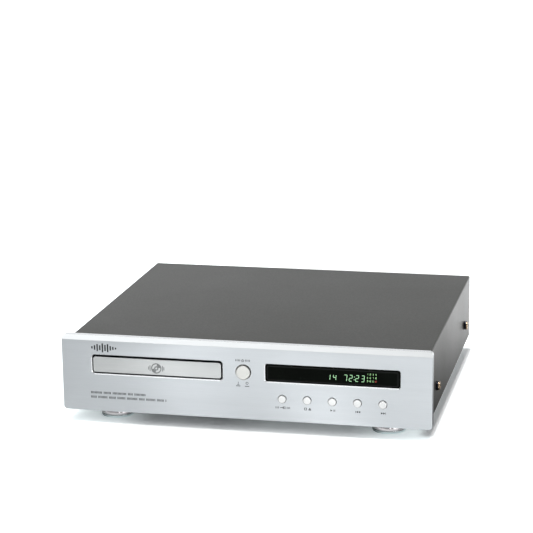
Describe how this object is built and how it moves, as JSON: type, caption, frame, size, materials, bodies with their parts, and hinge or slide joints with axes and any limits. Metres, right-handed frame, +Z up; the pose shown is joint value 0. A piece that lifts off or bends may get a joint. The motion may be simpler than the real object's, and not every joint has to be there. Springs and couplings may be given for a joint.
{
  "type": "compact disc player",
  "caption": "Full-width hi-fi disc player: brushed metal front with motorised disc tray, dark display window, round keys and turned feet under a dark sheet-metal case.",
  "frame": {"origin": "on the surface the feet stand on, midway across the width and midway between the front of the power button and the ends of the rear sockets", "axes": "+X across the front to the right of someone facing it, +Y towards the back, +Z up"},
  "size_m": [0.44, 0.398, 0.1056],
  "materials": {
    "front_aluminium": "brushed along the width, clear anodised",
    "door_aluminium": "brushed, clear anodised",
    "key_metal": "satin, turned face",
    "case_paint": "fine-textured dark grey powder coat",
    "zinc_steel": "zinc plated",
    "foot_aluminium": "turned and polished",
    "pad_rubber": "matt black",
    "screw_black": "black chromed, domed",
    "dark_plastic": "moulded, fine grain",
    "grey_plastic": "moulded",
    "white_plastic": "moulded acetal",
    "smoked_window": "polished black tinted acrylic",
    "tube_glass": "fluorescent display tube",
    "board_green": "solder-resisted circuit board",
    "winding": "taped winding over an iron ring core",
    "capacitor_sleeve": "shrunk sleeve",
    "heatsink_black": "black anodised",
    "belt_rubber": "matt",
    "brass": "machined",
    "ribbon_grey": "flat cable jacket"
  },
  "bodies": {
    "chassis": {"front_panel": "front_aluminium", "front_subframe": "dark_plastic", "top_cover": "case_paint", "base_pan": "zinc_steel", "rear_panel": "case_paint", "cover_screw_left_front": "screw_black", "cover_screw_left_rear": "screw_black", "cover_screw_right_front": "screw_black", "cover_screw_right_rear": "screw_black", "foot_front_left": "foot_aluminium", "foot_rear_left": "foot_aluminium", "foot_front_right": "foot_aluminium", "foot_rear_right": "foot_aluminium", "foot_pad_front_left": "pad_rubber", "foot_pad_rear_left": "pad_rubber", "foot_pad_front_right": "pad_rubber", "foot_pad_rear_right": "pad_rubber", "display_window": "smoked_window", "display_tube": "tube_glass", "control_board": "board_green", "power_switch": "dark_plastic", "loader_chassis": "grey_plastic", "clamp_bridge": "grey_plastic", "drive_belt": "belt_rubber", "loader_motor": "zinc_steel", "main_board": "board_green", "power_board": "board_green", "reservoir_capacitor_left": "capacitor_sleeve", "reservoir_capacitor_right": "capacitor_sleeve", "heatsink": "heatsink_black", "mains_transformer": "winding", "transformer_washer": "zinc_steel", "transformer_bolt": "zinc_steel", "audio_sockets": "dark_plastic", "digital_sockets": "dark_plastic", "mains_inlet": "dark_plastic", "ribbon_cable": "ribbon_grey"},
    "tray": {"disc_tray": "dark_plastic", "tray_door": "door_aluminium"},
    "tray_gear": {"tray_gear": "white_plastic"},
    "pulley_gear": {"pulley_gear": "white_plastic"},
    "motor_pulley": {"motor_pulley": "brass"},
    "lift": {"lift_frame": "zinc_steel", "sled_rod_left": "zinc_steel", "sled_rod_right": "zinc_steel", "spindle_motor": "zinc_steel", "sled_motor": "zinc_steel"},
    "turntable": {"turntable": "grey_plastic"},
    "clamp_puck": {"clamp_puck": "white_plastic"},
    "laser_sled": {"laser_sled": "dark_plastic"},
    "sled_gear": {"sled_gear": "white_plastic"},
    "sled_pinion": {"sled_pinion": "brass"},
    "power_button": {"power_button": "key_metal"},
    "key_source": {"key_source": "key_metal"},
    "key_stop": {"key_stop": "key_metal"},
    "key_play": {"key_play": "key_metal"},
    "key_back": {"key_back": "key_metal"},
    "key_forward": {"key_forward": "key_metal"}
  },
  "joints": [
    {"name": "tray_slide", "type": "slide", "parent": "chassis", "child": "tray", "axis": [0, -1, 0], "range_m": [0, 0.14]},
    {"name": "tray_gear_spin", "type": "hinge", "parent": "chassis", "child": "tray_gear", "pos_m": [-0.0522, -0.165, 0.0646], "axis": [0, 0, 1], "continuous": true},
    {"name": "pulley_gear_spin", "type": "hinge", "parent": "chassis", "child": "pulley_gear", "pos_m": [-0.0672, -0.165, 0.056], "axis": [0, 0, 1], "continuous": true},
    {"name": "motor_pulley_spin", "type": "hinge", "parent": "chassis", "child": "motor_pulley", "pos_m": [-0.1122, -0.167, 0.056], "axis": [0, 0, 1], "continuous": true},
    {"name": "lift_hinge", "type": "hinge", "parent": "chassis", "child": "lift", "pos_m": [-0.1042, -0.011, 0.058], "axis": [-1, 0, 0], "range_deg": [0, 6]},
    {"name": "turntable_spin", "type": "hinge", "parent": "lift", "child": "turntable", "pos_m": [-0.1042, -0.13037, 0.06486], "axis": [0, -0.1045, 0.9945], "continuous": true},
    {"name": "clamp_spin", "type": "hinge", "parent": "chassis", "child": "clamp_puck", "pos_m": [-0.1042, -0.129, 0.0837], "axis": [0, 0, 1], "continuous": true},
    {"name": "sled_slide", "type": "slide", "parent": "lift", "child": "laser_sled", "axis": [0, 0.9945, 0.1045], "range_m": [0, 0.034]},
    {"name": "sled_gear_spin", "type": "hinge", "parent": "lift", "child": "sled_gear", "pos_m": [-0.0674, -0.07909, 0.05527], "axis": [0, -0.1045, 0.9945], "continuous": true},
    {"name": "sled_pinion_spin", "type": "hinge", "parent": "lift", "child": "sled_pinion", "pos_m": [-0.0674, -0.06556, 0.05669], "axis": [0, -0.1045, 0.9945], "continuous": true},
    {"name": "power_press", "type": "slide", "parent": "chassis", "child": "power_button", "axis": [0, 1, 0], "range_m": [0, 0.003], "stiffness_N_per_m": 400},
    {"name": "key_source_press", "type": "slide", "parent": "chassis", "child": "key_source", "axis": [0, 1, 0], "range_m": [0, 0.001], "stiffness_N_per_m": 400},
    {"name": "key_stop_press", "type": "slide", "parent": "chassis", "child": "key_stop", "axis": [0, 1, 0], "range_m": [0, 0.001], "stiffness_N_per_m": 400},
    {"name": "key_play_press", "type": "slide", "parent": "chassis", "child": "key_play", "axis": [0, 1, 0], "range_m": [0, 0.001], "stiffness_N_per_m": 400},
    {"name": "key_back_press", "type": "slide", "parent": "chassis", "child": "key_back", "axis": [0, 1, 0], "range_m": [0, 0.001], "stiffness_N_per_m": 400},
    {"name": "key_forward_press", "type": "slide", "parent": "chassis", "child": "key_forward", "axis": [0, 1, 0], "range_m": [0, 0.001], "stiffness_N_per_m": 400}
  ],
  "couplings": [
    {"joint": "tray_gear_spin", "follows": "tray_slide", "rad_per_m": -100},
    {"joint": "pulley_gear_spin", "follows": "tray_slide", "rad_per_m": 200},
    {"joint": "motor_pulley_spin", "follows": "tray_slide", "rad_per_m": 1005.1},
    {"joint": "clamp_spin", "follows": "turntable_spin", "ratio": 1},
    {"joint": "sled_gear_spin", "follows": "sled_slide", "rad_per_m": -208.33},
    {"joint": "sled_pinion_spin", "follows": "sled_slide", "rad_per_m": 500}
  ]
}
